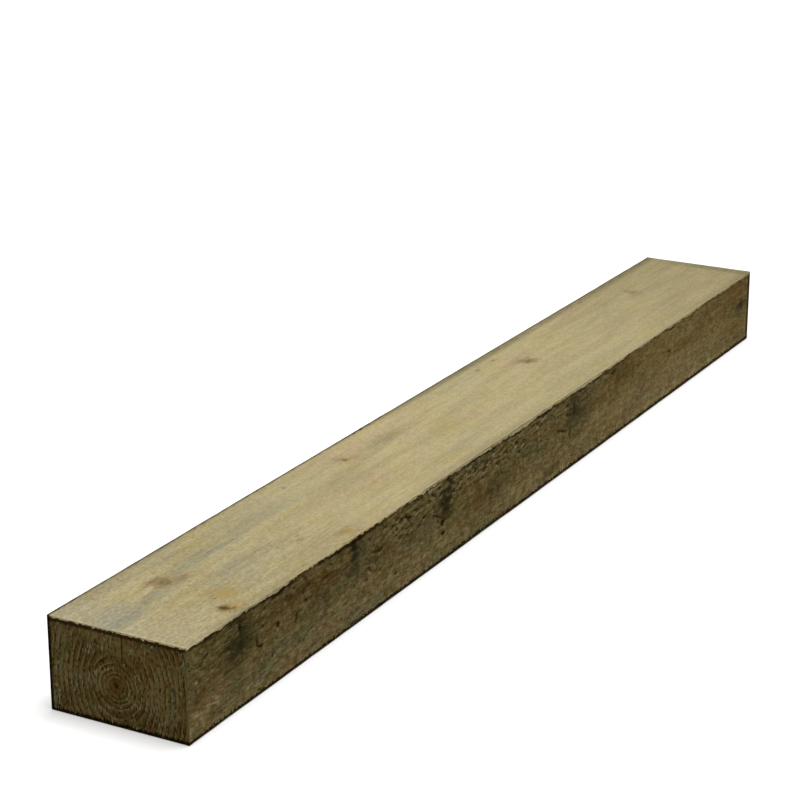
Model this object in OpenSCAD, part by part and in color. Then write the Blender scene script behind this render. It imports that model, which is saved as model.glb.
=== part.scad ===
// Sawn treated timber joist: one length of softwood, sawn on its four long faces and cut square at both ends.
// Millimetres. It lies on a wide face, with +X along the grain, +Y across the wide face and +Z up.
// The origin is the middle of the face that it lies on.

/* [Section] */
// Width of the wide faces, one of which it lies on
joist_width = 75; // [50:1:300]
// Thickness, from one wide face to the other
joist_thickness = 47; // [38:1:100]
// Radius that sawing and handling have left on the four long arrises
arris_radius = 1.2; // [0.4:0.1:5]

/* [Length] */
// Length between the two cut ends
joist_length = 680; // [300:10:6000]

/* [Hidden] */

// Sides of the circle that rounds an arris
arris_segments = 32;

// How far the middle of each arris's circle lies from the middle of the section
arris_across = joist_width / 2 - arris_radius;
arris_up = joist_thickness / 2 - arris_radius;

// The section across the grain, centred, with its four arrises worn round
module sawn_section() {
    square([2 * arris_across, joist_thickness], center = true);
    square([joist_width, 2 * arris_up], center = true);
    for (across = [-arris_across, arris_across], up = [-arris_up, arris_up])
        translate([across, up])
            circle(r = arris_radius, $fn = arris_segments);
}

// The whole timber: its section run along the grain, from one saw cut to the other
module joist() {
    color("tan")
        translate([-joist_length / 2, 0, joist_thickness / 2])
            rotate([90, 0, 90])
                linear_extrude(height = joist_length)
                    sawn_section();
}

joist();
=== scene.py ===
# %% [markdown]
# # A sawn length of treated timber
#
# The real object is one stick of softwood. A saw cut it out of the middle of a small log, so the pith of
# the tree runs down inside it, and the cut ends show whole growth rings. It was then soaked in
# preservative, which left the sawn edges and ends olive brown and the cleaner wide face a pale tan. The
# edges and ends are also painted darker than the top as painted shade, since they turn away from the lamp.
#
# Nothing is joined on, so this scene has one main mesh. All of its looks follow from one idea: the wood is
# solid. Rings, knots and stains are worked out for every point inside the log, and a face shows what the
# saw laid open.

# %% Load the fixed frame
import math

import bpy
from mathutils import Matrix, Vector


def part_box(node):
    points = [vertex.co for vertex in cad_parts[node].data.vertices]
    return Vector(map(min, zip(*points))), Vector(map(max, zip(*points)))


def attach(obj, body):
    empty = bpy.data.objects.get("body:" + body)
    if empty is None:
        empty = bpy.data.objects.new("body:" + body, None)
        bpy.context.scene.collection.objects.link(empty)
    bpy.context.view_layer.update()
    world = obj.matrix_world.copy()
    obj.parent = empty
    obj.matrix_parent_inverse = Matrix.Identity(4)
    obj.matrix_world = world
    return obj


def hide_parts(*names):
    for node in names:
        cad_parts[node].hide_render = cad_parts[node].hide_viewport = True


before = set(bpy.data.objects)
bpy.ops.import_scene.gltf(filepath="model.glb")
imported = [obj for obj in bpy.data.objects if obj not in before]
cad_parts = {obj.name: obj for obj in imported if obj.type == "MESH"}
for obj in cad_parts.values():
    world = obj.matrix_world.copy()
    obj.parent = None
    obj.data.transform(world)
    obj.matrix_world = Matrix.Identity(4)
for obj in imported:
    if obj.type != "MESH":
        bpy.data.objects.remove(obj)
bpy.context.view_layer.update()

# %% [markdown]
# The frame already holds the timber as a plain solid. Its box gives the sizes and places that all the rest
# is built from.

# %% Measure the timber
low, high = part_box("joist")
length, width, thickness = (high - low)[:]
print(f"The timber is {length:.3f} m long, {width:.3f} m wide and {thickness:.3f} m thick")

# %% [markdown]
# ## The camera
#
# The camera looks along the timber from beyond its near end, a little from the front and from above. A
# long lens from far off keeps the far end from shrinking too much. Its place is measured from the middle
# of the near end.

# %% Camera
near_end = Vector((low.x, (low.y + high.y) / 2, (low.z + high.z) / 2))
camera_from_near_end = Vector((-0.7655, -0.564, 0.4556))
camera_turn = math.radians(28.82)
camera_tilt = math.radians(19.0)
camera_lens = 105.6

looking = Vector((
    math.cos(camera_tilt) * math.cos(camera_turn),
    math.cos(camera_tilt) * math.sin(camera_turn),
    -math.sin(camera_tilt),
))
camera = bpy.data.objects.new("camera", bpy.data.cameras.new("camera"))
camera.location = near_end + camera_from_near_end
camera.rotation_euler = looking.to_track_quat("-Z", "Y").to_euler()
camera.data.lens = camera_lens
bpy.context.collection.objects.link(camera)
bpy.context.scene.camera = camera
print("camera at", [round(value, 3) for value in camera.location])

# %% [markdown]
# ## Arithmetic that becomes nodes
#
# Wood is easiest to describe with formulas, and a formula of twenty Math nodes is hard to read as twenty
# calls. A small class fixes that. A `Field` wraps the output socket of a node, and `a + b` adds the Math
# node that sums them. The same formulas then work in a material and in a Geometry Nodes tree, because both
# kinds of tree take the Math, Vector Math, Map Range and Noise Texture nodes.

# %% Feeding sockets
def feed(socket, value):
    """Links a field to a socket, or writes a plain number, vector or colour into it."""
    if isinstance(value, Field):
        socket.id_data.links.new(value.socket, socket)
    elif socket.type == "VECTOR" and isinstance(value, (int, float)):
        socket.default_value = (value, value, value)
    else:
        socket.default_value = value


def reckon(operation, *values, result=0):
    """One math node over numbers, vectors and fields. It is a Vector Math node where a field is a vector."""
    fields = [value for value in values if isinstance(value, Field)]
    is_vector = any(field.socket.type == "VECTOR" for field in fields)
    node = fields[0].tree.nodes.new("ShaderNodeVectorMath" if is_vector else "ShaderNodeMath")
    node.operation = operation
    for socket, value in zip(node.inputs, values):
        feed(socket, value)
    return Field(node.outputs[result])


print("Sockets can be fed")

# %% [markdown]
# The class itself only says which node each sign stands for. Python calls `__add__` where it reads `a + b`,
# and so on.

# %% Fields
class Field:
    """A number or vector that changes from place to place, as the output socket of a node."""

    def __init__(self, socket):
        self.socket = socket
        self.tree = socket.id_data

    def __add__(self, other):
        return reckon("ADD", self, other)

    def __sub__(self, other):
        return reckon("SUBTRACT", self, other)

    def __mul__(self, other):
        """A vector times a number is one Scale node. It holds fewer values at once than a second vector."""
        if isinstance(other, Field) and self.socket.type == "VECTOR" and other.socket.type != "VECTOR":
            node = self.tree.nodes.new("ShaderNodeVectorMath")
            node.operation = "SCALE"
            feed(node.inputs["Vector"], self)
            feed(node.inputs["Scale"], other)
            return Field(node.outputs["Vector"])
        return reckon("MULTIPLY", self, other)

    def __truediv__(self, other):
        return reckon("DIVIDE", self, other)

    def __rsub__(self, other):
        return reckon("SUBTRACT", other, self)

    def size(self):
        """How far a number is from nought, or how long a vector is."""
        if self.socket.type == "VECTOR":
            return reckon("LENGTH", self, result=1)
        return reckon("ABSOLUTE", self)

    def split(self):
        """The three parts of a vector: along, across and up."""
        node = self.tree.nodes.new("ShaderNodeSeparateXYZ")
        feed(node.inputs[0], self)
        return [Field(socket) for socket in node.outputs]


print("Fields are ready")

# %% [markdown]
# More tools do most of the work. `ramp` turns any number into a soft mask from 0 to 1. `noise` is the
# cloudy pattern behind every natural change, and its size is given in millimetres along, across and up, so
# that a pattern can be drawn out along the grain. `vector` puts three numbers together again, and `lowest`
# and `highest` keep one of two.

# %% Ramps, noise and vectors
SEED_STEP = 7.3


def ramp(value, start, end, low_value=0.0, high_value=1.0, shape="SMOOTHSTEP"):
    """Maps value from start..end to low_value..high_value and holds it there outside."""
    node = value.tree.nodes.new("ShaderNodeMapRange")
    node.interpolation_type = shape
    for socket, number in zip(node.inputs, (value, start, end, low_value, high_value)):
        feed(socket, number)
    return Field(node.outputs[0])


def noise(place, sizes, seed, detail=2.0, roughness=0.5):
    """Cloudy values around 0.5, with patches of about the given sizes."""
    spot = place / sizes + seed * SEED_STEP
    node = place.tree.nodes.new("ShaderNodeTexNoise")
    feed(node.inputs["Vector"], spot)
    feed(node.inputs["Scale"], 1.0)
    feed(node.inputs["Detail"], detail)
    feed(node.inputs["Roughness"], roughness)
    return Field(node.outputs[0])


def vector(tree, *parts):
    """A vector from three numbers or fields."""
    node = tree.nodes.new("ShaderNodeCombineXYZ")
    for socket, part in zip(node.inputs, parts):
        feed(socket, part)
    return Field(node.outputs[0])


def lowest(first, second):
    """The smaller of two fields."""
    return reckon("MINIMUM", first, second)


def highest(first, second):
    """The larger of two fields."""
    return reckon("MAXIMUM", first, second)


print("Ramps, noise and vectors are ready")

# %% [markdown]
# ## Recipes as node groups
#
# A recipe that is needed in several places becomes a node group with named inputs. Most of them are built
# twice: as a shader group, which colours the wood, and as a geometry group, which shapes it. A knot then
# has its dark ring exactly where its groove is.

# %% Group tools
COLOUR = "ShaderNodeTree"
SHAPE = "GeometryNodeTree"
SOCKET_KINDS = {float: "NodeSocketFloat", tuple: "NodeSocketVector", int: "NodeSocketInt"}
NOWHERE = (0.0, 0.0, 0.0)


def start_group(kind, name, takes, gives):
    """An empty group. takes holds each input's name and usual value, and gives each output's and its type."""
    tree = bpy.data.node_groups.new(f"{name}_{'colour' if kind == COLOUR else 'shape'}", kind)
    for title, usual in takes.items():
        socket = tree.interface.new_socket(title, in_out="INPUT", socket_type=SOCKET_KINDS[type(usual)])
        socket.default_value = usual
    for title, value_type in gives.items():
        tree.interface.new_socket(title, in_out="OUTPUT", socket_type=SOCKET_KINDS[value_type])
    entry = tree.nodes.new("NodeGroupInput")
    return tree, {title: Field(entry.outputs[title]) for title in takes}


def end_group(tree, results):
    """Links the results to the group's outputs by name."""
    node = tree.nodes.new("NodeGroupOutput")
    for title, value in results.items():
        feed(node.inputs[title], value)
    print(f"{tree.name}: {len(tree.nodes)} nodes")
    return tree


def use_group(tree, groups, values):
    """Places a group in a tree, fills its inputs, and returns its outputs by name."""
    node = tree.nodes.new("ShaderNodeGroup" if tree.bl_idname == COLOUR else "GeometryNodeGroup")
    node.node_tree = groups[tree.bl_idname]
    for title, value in values.items():
        feed(node.inputs[title], value)
    return {socket.name: Field(socket) for socket in node.outputs}


def in_both(build):
    """Builds a recipe as a shader group and as a geometry group."""
    return {kind: build(kind) for kind in (COLOUR, SHAPE)}


print("Group tools are ready")

# %% [markdown]
# ## The log around the timber
#
# All recipes work in millimetres. `Place` is measured from the middle of the near end's bottom edge: along
# the grain, across to the back, and up. The pith starts where the rings close on the near end, a little
# below the middle, and sweeps gently from side to side on its way to the far end, as the stem of a tree
# does. The first recipe gives every point its offset from the pith.

# %% Where a point lies in the log
MM = 1000.0
timber_long, timber_wide, timber_thick = length * MM, width * MM, thickness * MM
half_wide = timber_wide / 2

pith_across = 0.9
pith_up = 19.8
sweep_across = 3.5
sweep_up = 2.0
sweep_length = 150.0
sweep_ratio = 1.3


def build_log_offset(kind):
    """Place in the timber to offset from the pith."""
    tree, took = start_group(kind, "log_offset", {"Place": NOWHERE}, {"Offset": tuple})
    along, across, up = took["Place"].split()
    turn = along / sweep_length
    from_pith_across = across - pith_across - reckon("SINE", turn) * sweep_across
    from_pith_up = up - pith_up - reckon("SINE", turn * sweep_ratio) * sweep_up
    return end_group(tree, {"Offset": vector(tree, along, from_pith_across, from_pith_up)})


log_offset = in_both(build_log_offset)
print("The pith leaves the near end", pith_up, "mm above the floor")

# %% [markdown]
# ## Branches
#
# A knot is a branch that the saw has cut through. Branches grow out from the pith and lean towards the top
# of the tree, and the stem thickens round them, so a branch is a slender cone inside the log. The recipe
# measures how far a point lies from the branch's middle line, in branch radii: below 1 is inside the knot.
# `Spread` and `Tone` are handed from one branch to the next, which keeps the nearest branch and the
# darkest tone.

# %% One branch
branch_lean = 0.35
thinnest_part = 0.3
NO_BRANCH = 99.0


def build_branch(kind):
    """Adds one branch, which comes out of the timber at its mouth, to the spread and tone found so far."""
    takes = {"Offset": NOWHERE, "Mouth": NOWHERE, "Radius": 4.0, "Darkness": 1.0}
    takes |= {"Unevenness": 0.5, "Spread": NO_BRANCH, "Tone": 0.0}
    tree, took = start_group(kind, "branch", takes, {"Spread": float, "Tone": float})
    mouth = use_group(tree, log_offset, {"Place": took["Mouth"]})["Offset"]
    mouth_along, mouth_across, mouth_up = mouth.split()
    out_to_mouth = vector(tree, 0.0, mouth_across, mouth_up).size()
    root = vector(tree, mouth_along - out_to_mouth * branch_lean, 0.0, 0.0)
    axis = reckon("NORMALIZE", mouth - root)
    from_root = took["Offset"] - root
    out = reckon("DOT_PRODUCT", from_root, axis, result=1)
    aside = (from_root - axis * out).size() * ramp(took["Unevenness"], 0.25, 0.75, 0.6, 1.5)
    radius_here = took["Radius"] * highest(out / (mouth - root).size(), thinnest_part)
    spread = aside / radius_here + ramp(out, 3.0, -3.0, 0.0, 9.0)
    core = ramp(spread, 1.25, 0.7) * took["Darkness"]
    return end_group(tree, {"Spread": lowest(took["Spread"], spread), "Tone": highest(took["Tone"], core)})


branch = in_both(build_branch)

# %% [markdown]
# Pine grows its branches in rings, one ring a year, so the knots sit in groups along the timber. Each is
# given by the place where it comes out (along from the near end, across from the middle, up from the
# floor), its radius there and how dark it is.

# %% The branches of this timber
BRANCHES = (
    ("first_ring_top", (55.0, 12.0, timber_thick), 3.6, 0.1),
    ("first_ring_top_front", (44.5, -29.0, timber_thick), 2.2, 0.7),
    ("first_ring_under", (38.0, -8.0, 0.0), 5.0, 0.7),
    ("first_ring_back", (56.0, half_wide, 17.0), 4.0, 0.8),
    ("small_front", (145.0, -half_wide, 41.0), 2.4, 0.7),
    ("second_ring_top", (235.0, 20.0, timber_thick), 1.6, 0.5),
    ("second_ring_front", (239.0, -half_wide, 31.0), 3.6, 0.6),
    ("second_ring_under", (240.0, 10.0, 0.0), 4.6, 0.7),
    ("second_ring_back", (232.0, half_wide, 31.0), 3.2, 0.8),
    ("third_ring_top", (433.0, 9.0, timber_thick), 3.6, 0.2),
    ("third_ring_front", (396.0, -half_wide, 35.0), 4.0, 0.3),
    ("third_ring_under", (416.0, -14.0, 0.0), 4.2, 0.8),
    ("third_ring_back", (408.0, half_wide, 12.0), 3.8, 0.7),
    ("fourth_ring_top", (597.0, 12.0, timber_thick), 2.6, 0.0),
    ("fourth_ring_under", (604.0, 4.0, 0.0), 4.0, 0.7),
    ("fourth_ring_back", (590.0, half_wide, 24.0), 3.6, 0.8),
    ("far_front", (664.0, -half_wide, 29.0), 2.2, 0.7),
)


def build_branches(kind):
    """All the branches in a row, each handing its spread and tone to the next."""
    tree, took = start_group(kind, "branches", {"Offset": NOWHERE}, {"Spread": float, "Tone": float})
    unevenness = noise(took["Offset"], (4.0, 2.5, 2.5), seed=1, detail=2.0)
    found = {"Spread": NO_BRANCH, "Tone": 0.0}
    for _, mouth, radius, darkness in BRANCHES:
        values = {"Offset": took["Offset"], "Unevenness": unevenness, "Mouth": mouth, "Radius": radius}
        found = use_group(tree, branch, values | {"Darkness": darkness} | found)
    return end_group(tree, found)


branches = in_both(build_branches)
print(len(BRANCHES), "branches cross the timber")

# %% [markdown]
# ## Growth rings
#
# Each year adds a band of pale wood and a thin band of dark wood, here about 2.7 mm together. Close to the
# pith the rings are round and lie closer together, and further out they are taller than they are wide.
# They wobble slowly, thin out up the stem, and swell round a branch. The recipe counts rings outwards from
# the pith, and the fraction that is left over says how far through its year the wood is.

# %% Rings
ring_spacing = 2.7
ring_flattening = 0.72
stem_taper = 0.006
slow_wobble = 2.6
quick_wobble = 0.5
branch_swelling = 2.4


def build_rings(kind):
    """The pale early wood, the dark late wood at the end of each year, and the distance from the pith."""
    gives = {"Early": float, "Late": float, "Radius": float}
    tree, took = start_group(kind, "rings", {"Offset": NOWHERE, "Spread": NO_BRANCH}, gives)
    along, across, up = took["Offset"].split()
    plain_radius = vector(tree, 0.0, across, up).size()
    flattened = up * ramp(plain_radius, 6.0, 26.0, 1.0, ring_flattening)
    radius = vector(tree, 0.0, across, flattened).size() + along * stem_taper
    radius = radius + ramp(plain_radius, 0.0, 11.0, 0.0, ring_spacing, shape="LINEAR")
    radius = radius + (noise(took["Offset"], (240.0, 18.0, 18.0), seed=2) - 0.5) * slow_wobble
    radius = radius + (noise(took["Offset"], (50.0, 8.0, 8.0), seed=3) - 0.5) * quick_wobble
    radius = radius - ramp(took["Spread"], 3.6, 0.8, 0.0, branch_swelling)
    year = reckon("FRACT", radius / ring_spacing)
    strong = ramp(plain_radius, 3.0, 6.5, 0.2, 1.0)
    late = ramp(year, 0.5, 0.85) * ramp(year, 1.0, 0.93) * strong
    early = ramp(year, 0.0, 0.08) * ramp(year, 0.34, 0.14) * strong
    return end_group(tree, {"Early": early, "Late": late, "Radius": plain_radius})


rings = in_both(build_rings)
print("The rings are", ring_spacing, "mm apart")

# %% [markdown]
# ## Marks at chosen places
#
# Some things on a timber follow no rule: a blue grey patch of sap stain, a weep of resin, a pale scuff, a
# pit where a fibre was torn out. Each is a frayed spot with a place and a size, and `Lean` tips it out of
# line with the grain. The recipe adds one spot to those before it, and keeps the stronger.

# %% One mark
faded_out = 1.3


def build_mark(kind):
    """Adds one spot to the amount found so far. Fray breaks its outline, and Core is its unfaded part."""
    takes = {"Place": NOWHERE, "Centre": NOWHERE, "Half": (5.0, 5.0, 5.0), "Lean": NOWHERE}
    takes |= {"Strength": 1.0, "Fray": 0.0, "Core": 0.1, "Amount": 0.0}
    tree, took = start_group(kind, "mark", takes, {"Amount": float})
    away = took["Place"] - took["Centre"]
    along = reckon("DOT_PRODUCT", away, (1.0, 0.0, 0.0), result=1)
    reach = ((away - took["Lean"] * along) / took["Half"]).size() + took["Fray"]
    amount = ramp(reach, faded_out, took["Core"]) * took["Strength"]
    return end_group(tree, {"Amount": highest(took["Amount"], amount)})


mark = in_both(build_mark)

# %% [markdown]
# The marks are listed kind by kind and face by face. A row says where a mark lies along the grain, and
# across the top or up the front, its half size both ways, how much it leans and how strong it is. How deep
# it goes into the wood is said once for several rows.

# %% Rows of marks
def spots(face, deep, *rows):
    """Marks on the top or the front, from rows of along, aside, half along, half aside, lean, strength."""
    found = []
    on_top = face == "top"
    for along, aside, half_along, half_aside, lean, strength in rows:
        found.append({
            "Centre": (along, aside, timber_thick) if on_top else (along, -half_wide, aside),
            "Half": (half_along, half_aside, deep) if on_top else (half_along, deep, half_aside),
            "Lean": (0.0, lean, 0.0) if on_top else (0.0, 0.0, lean),
            "Strength": strength,
        })
    return found


BLUE_STAINS = spots(
    "top", 9.0,
    (14.0, 3.5, 30.0, 5.5, 0.0, 1.0),
    (5.0, 11.0, 20.0, 8.0, 0.0, 0.55),
    (38.0, 6.0, 26.0, 5.0, 0.1, 0.8),
) + spots(
    "top", 7.0,
    (90.0, 13.5, 38.0, 5.5, 0.0, 1.0),
    (72.0, 27.0, 24.0, 3.6, 0.0, 0.35),
) + spots(
    "top", 6.0,
    (140.0, 15.0, 50.0, 6.0, 0.0, 0.6),
    (275.0, 17.0, 22.0, 5.0, 0.0, 0.3),
) + spots(
    "front", 5.0,
    (41.0, 33.0, 18.0, 14.0, 0.0, 0.75),
    (44.0, 37.0, 6.0, 14.0, 0.0, 0.85),
) + spots(
    "front", 4.0,
    (115.0, 23.0, 24.0, 9.0, 0.0, 0.3),
    (146.0, 38.0, 5.5, 12.0, 0.0, 1.0),
    (242.0, 32.0, 8.0, 13.0, 0.0, 1.0),
    (402.0, 34.0, 18.0, 14.0, 0.0, 0.6),
    (662.0, 26.0, 14.0, 7.0, 0.0, 0.7),
)
print(len(BLUE_STAINS), "blue stains")

# %% [markdown]
# The brown stains of the top sit round the knots, and those of the front are long patches that the
# preservative soaked most. Resin has wept out beside the knots of the front arris.

# %% Brown stains and resin
BROWN_STAINS = spots(
    "top", 4.0,
    (52.0, 17.5, 7.5, 2.8, 0.0, 0.9),
    (55.5, 12.5, 8.0, 5.5, 0.0, 0.85),
    (63.5, 8.0, 6.0, 4.0, 0.0, 0.85),
    (44.4, -28.4, 4.4, 3.4, 0.0, 1.0),
    (148.0, -29.5, 6.0, 2.8, 0.0, 0.5),
    (154.0, -34.0, 7.0, 3.4, 0.0, 0.3),
    (234.0, 23.0, 5.0, 4.4, 0.0, 0.5),
    (241.0, 16.0, 6.0, 3.4, 0.0, 0.5),
    (275.0, 17.0, 20.0, 5.0, 0.0, 0.35),
    (433.0, 9.0, 10.0, 5.0, -0.5, 0.7),
    (597.0, 12.0, 8.0, 8.0, 0.5, 0.3),
    (212.0, 0.0, 44.0, 13.0, 0.0, 0.17),
) + spots(
    "front", 4.0,
    (9.0, 20.0, 10.0, 6.0, 0.0, 0.7),
    (467.0, 9.0, 42.0, 8.0, 0.0, 0.25),
    (92.0, 37.0, 26.0, 5.0, 0.05, 0.8),
    (122.0, 34.5, 16.0, 4.0, 0.0, 0.6),
    (290.0, 19.0, 42.0, 8.5, 0.06, 0.6),
    (368.0, 7.0, 14.0, 4.0, 0.2, 0.7),
    (470.0, 38.0, 26.0, 7.0, 0.0, 0.6),
    (570.0, 27.0, 45.0, 4.0, -0.05, 0.45),
    (656.0, 39.0, 30.0, 9.0, 0.0, 0.5),
)
RESIN_STAINS = spots(
    "top", 4.0,
    (58.5, -20.0, 9.0, 7.5, 0.0, 1.0),
    (55.0, -12.0, 7.0, 5.0, 0.0, 0.7),
    (48.0, -31.0, 9.0, 6.0, 0.0, 0.8),
    (150.0, -31.0, 7.0, 5.0, 0.0, 0.9),
    (240.0, 19.0, 12.0, 4.0, 0.0, 0.4),
    (308.0, -3.0, 16.0, 8.0, 0.0, 0.4),
) + spots(
    "front", 4.0,
    (12.0, 21.0, 11.0, 7.0, 0.0, 0.6),
    (38.0, 23.0, 9.0, 5.0, 0.0, 0.5),
    (116.0, 36.0, 14.0, 4.0, 0.0, 0.8),
    (291.0, 9.0, 4.0, 3.0, 0.0, 0.7),
    (655.0, 15.0, 22.0, 6.0, 0.0, 0.7),
)
print(len(BROWN_STAINS), "brown stains and", len(RESIN_STAINS), "of resin")

# %% [markdown]
# A pit is where the saw pulled a splinter right out, so most of them are on the rough front. A scuff is where
# something dragged along the timber and left it dry and pale.

# %% Pits and scuffs
PITS = spots(
    "front", 3.0,
    (43.0, 40.0, 1.3, 5.0, 0.0, 0.6),
    (57.0, 27.0, 1.0, 3.4, 0.0, 0.8),
    (59.6, 24.0, 2.6, 1.0, -0.3, 0.8),
    (75.7, 28.6, 1.8, 1.8, 0.0, 1.0),
    (91.5, 26.0, 1.8, 2.2, 0.8, 0.8),
    (70.0, 15.0, 1.1, 1.1, 0.0, 0.8),
    (99.0, 43.0, 3.0, 1.6, -0.6, 0.6),
    (161.0, 24.0, 2.4, 1.4, -0.6, 0.8),
    (157.0, 20.0, 1.4, 1.0, 0.0, 0.6),
    (168.0, 31.0, 5.0, 1.0, -0.3, 0.7),
    (187.0, 12.0, 2.0, 0.9, 0.0, 0.7),
    (201.0, 36.0, 3.0, 1.6, -0.8, 0.8),
    (232.0, 27.0, 6.0, 0.9, -0.5, 0.8),
    (238.0, 21.5, 1.8, 2.0, 0.0, 1.0),
    (238.5, 15.5, 2.0, 1.3, 0.0, 1.0),
    (248.0, 41.0, 5.0, 1.2, -0.6, 0.7),
    (325.0, 38.0, 2.2, 1.4, 0.0, 0.8),
    (384.0, 26.0, 7.0, 0.8, -0.35, 0.8),
    (394.0, 22.0, 1.4, 4.0, 0.0, 0.7),
    (400.0, 36.0, 1.4, 6.0, 0.0, 0.5),
    (455.0, 41.0, 4.0, 1.4, 0.0, 0.7),
    (541.0, 29.7, 3.0, 1.0, -0.3, 0.7),
    (545.0, 43.5, 5.0, 0.9, 0.0, 0.6),
    (668.0, 24.5, 2.4, 1.6, 0.0, 0.6),
) + spots(
    "top", 3.0,
    (130.0, -16.5, 2.8, 1.2, 0.0, 0.3),
    (185.0, 26.5, 1.6, 1.0, 0.0, 0.4),
    (403.0, 26.6, 2.0, 1.4, 0.0, 0.4),
    (425.0, 27.5, 2.0, 1.4, 0.0, 0.4),
    (559.0, 32.5, 3.0, 1.4, 0.0, 0.3),
)
SCUFFS = spots(
    "top", 4.0,
    (42.0, 24.0, 42.0, 11.0, 0.0, 0.3),
    (297.0, 24.0, 42.0, 11.0, 0.0, 0.25),
) + spots(
    "front", 4.0,
    (127.0, 23.0, 42.0, 8.0, 0.0, 0.3),
    (382.0, 36.0, 42.0, 9.0, 0.0, 0.35),
    (552.0, 24.0, 46.0, 24.0, 0.0, 0.35),
    (14.0, 14.0, 16.0, 5.0, 0.0, 0.4),
    (18.5, 12.6, 11.0, 1.0, -0.25, 1.0),
    (6.3, 28.0, 2.4, 1.4, 0.0, 1.0),
    (11.0, 25.0, 6.0, 5.0, 0.0, 0.4),
    (79.0, 8.6, 4.0, 0.9, 0.0, 0.8),
    (95.0, 8.0, 4.0, 0.9, 0.0, 0.8),
    (112.0, 12.0, 3.0, 1.0, 0.0, 1.0),
    (120.0, 9.0, 60.0, 4.0, 0.0, 0.3),
    (330.0, 9.0, 34.0, 4.0, 0.08, 0.5),
    (240.0, 7.0, 34.0, 4.0, 0.0, 0.3),
    (270.0, 40.0, 22.0, 5.0, 0.0, 0.5),
    (318.0, 39.0, 24.0, 4.0, 0.0, 0.4),
    (507.0, 5.0, 22.0, 3.0, 0.0, 0.4),
)
print(len(PITS), "pits and", len(SCUFFS), "scuffs")

# %% [markdown]
# A stain soaks along the grain and ends in a soft, drawn-out fringe, while a pit or a scuff has a crisp
# one. So two noises fray the outlines.

# %% All marks
soft_fraying = 2.4
crisp_fraying = 1.6


def build_marks(kind):
    """The amount of each kind of mark: the blue, brown and resin stains, the pits and the scuffs."""
    gives = {"Blue": float, "Brown": float, "Resin": float, "Pit": float, "Scuff": float}
    tree, took = start_group(kind, "marks", {"Place": NOWHERE}, gives)
    place = took["Place"]
    soft_fray = (noise(place, (22.0, 3.6, 3.6), seed=4, detail=3.0) - 0.5) * soft_fraying
    crisp_fray = (noise(place, (3.0, 1.5, 1.5), seed=4, detail=2.0) - 0.5) * crisp_fraying
    kinds = (
        ("Blue", BLUE_STAINS, soft_fray, 0.0),
        ("Brown", BROWN_STAINS, crisp_fray, 0.0),
        ("Resin", RESIN_STAINS, crisp_fray, 0.0),
        ("Pit", PITS, crisp_fray, 0.5),
        ("Scuff", SCUFFS, crisp_fray, 0.0),
    )
    amounts = {}
    for title, rows, fray, core in kinds:
        found = {"Amount": 0.0}
        for spot in rows:
            found = use_group(tree, mark, {"Place": place, "Fray": fray, "Core": core} | spot | found)
        amounts[title] = found["Amount"]
    return end_group(tree, amounts)


marks = in_both(build_marks)

# %% [markdown]
# ## Which face is a point on?
#
# The finish differs from face to face. A point on the surface lies nearly on one of the six planes of the
# timber, so its distances from those planes say which face it is on, and on a worn arris two of them are
# nearly equal. Distances work as well on the roughened mesh as on a flat one, and they need no painted mask.

# %% Distances from the six planes
def build_planes(kind):
    """Distances from the nearest end, side and wide face, and three that tell front, back and top apart."""
    titles = ("From End", "From Side", "From Flat", "From Front", "From Back", "From Top")
    tree, took = start_group(kind, "planes", {"Place": NOWHERE}, dict.fromkeys(titles, float))
    along, across, up = took["Place"].split()
    from_front = across + half_wide
    from_back = half_wide - across
    from_top = timber_thick - up
    from_end = lowest(along, timber_long - along)
    from_side = lowest(from_front, from_back)
    from_flat = lowest(up, from_top)
    distances = (from_end, from_side, from_flat, from_front, from_back, from_top)
    return end_group(tree, dict(zip(titles, distances)))


planes = in_both(build_planes)

# %% [markdown]
# ## Torn grain
#
# A coarse saw lifts fibres and tears some out, and it leaves short ragged hollows along the grain. They are
# deepest where the blade left the wood, along the upper part of the front and back, and worst near the
# middle of the length. The recipe is a noise drawn out along the grain, of which only the peaks are kept,
# and `Amount` moves the cut-off.

# %% Torn grain
usual_cut_off = 0.7
amount_effect = 0.13
patch_effect = 0.35


def build_torn_grain(kind):
    """Ragged hollows along the grain, from 0 to 1."""
    takes = {"Place": NOWHERE, "Long": 5.2, "Wide": 2.4, "Amount": 0.5}
    tree, took = start_group(kind, "torn_grain", takes, {"Torn": float})
    sizes = vector(tree, took["Long"], took["Wide"], took["Wide"])
    strands = noise(took["Place"], sizes, seed=5, detail=3.0, roughness=0.6)
    patches = noise(took["Place"], (20.0, 10.0, 10.0), seed=6)
    cut_off = usual_cut_off - took["Amount"] * amount_effect - (patches - 0.5) * patch_effect
    return end_group(tree, {"Torn": ramp(strands - cut_off, 0.0, 0.1)})


torn_grain = in_both(build_torn_grain)

# %% [markdown]
# How much of the grain is torn depends on the face and on the height. The distances from the planes say
# which face a point is on, and ramps along and up do the rest.

# %% Where the grain is torn
def build_tearing(kind):
    """How badly each face is torn, from 0 to 1: most near the top of the two sides, least on the top."""
    tree, took = start_group(kind, "tearing", {"Place": NOWHERE}, {"Amount": float})
    along, across, up = took["Place"].split()
    where = use_group(tree, planes, {"Place": took["Place"]})
    on_side = ramp(where["From Flat"] - where["From Side"], -0.4, 0.4)
    high_up = ramp(up, 16.0, 42.0, 0.35, 1.0)
    high_up = high_up * ramp(along, timber_long * 0.4, timber_long * 0.8, 1.0, 0.5)
    worst = ramp((along - timber_long * 0.43).size(), 150.0, 60.0) * ramp(up, 20.0, 34.0)
    high_up = high_up + worst * 0.3
    on_top = ramp(where["From Top"], 3.0, 0.5)
    on_flat = ramp(on_top, 0.0, 1.0, 0.35, 0.02)
    return end_group(tree, {"Amount": on_flat + on_side * (high_up - on_flat)})


tearing = in_both(build_tearing)

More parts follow.
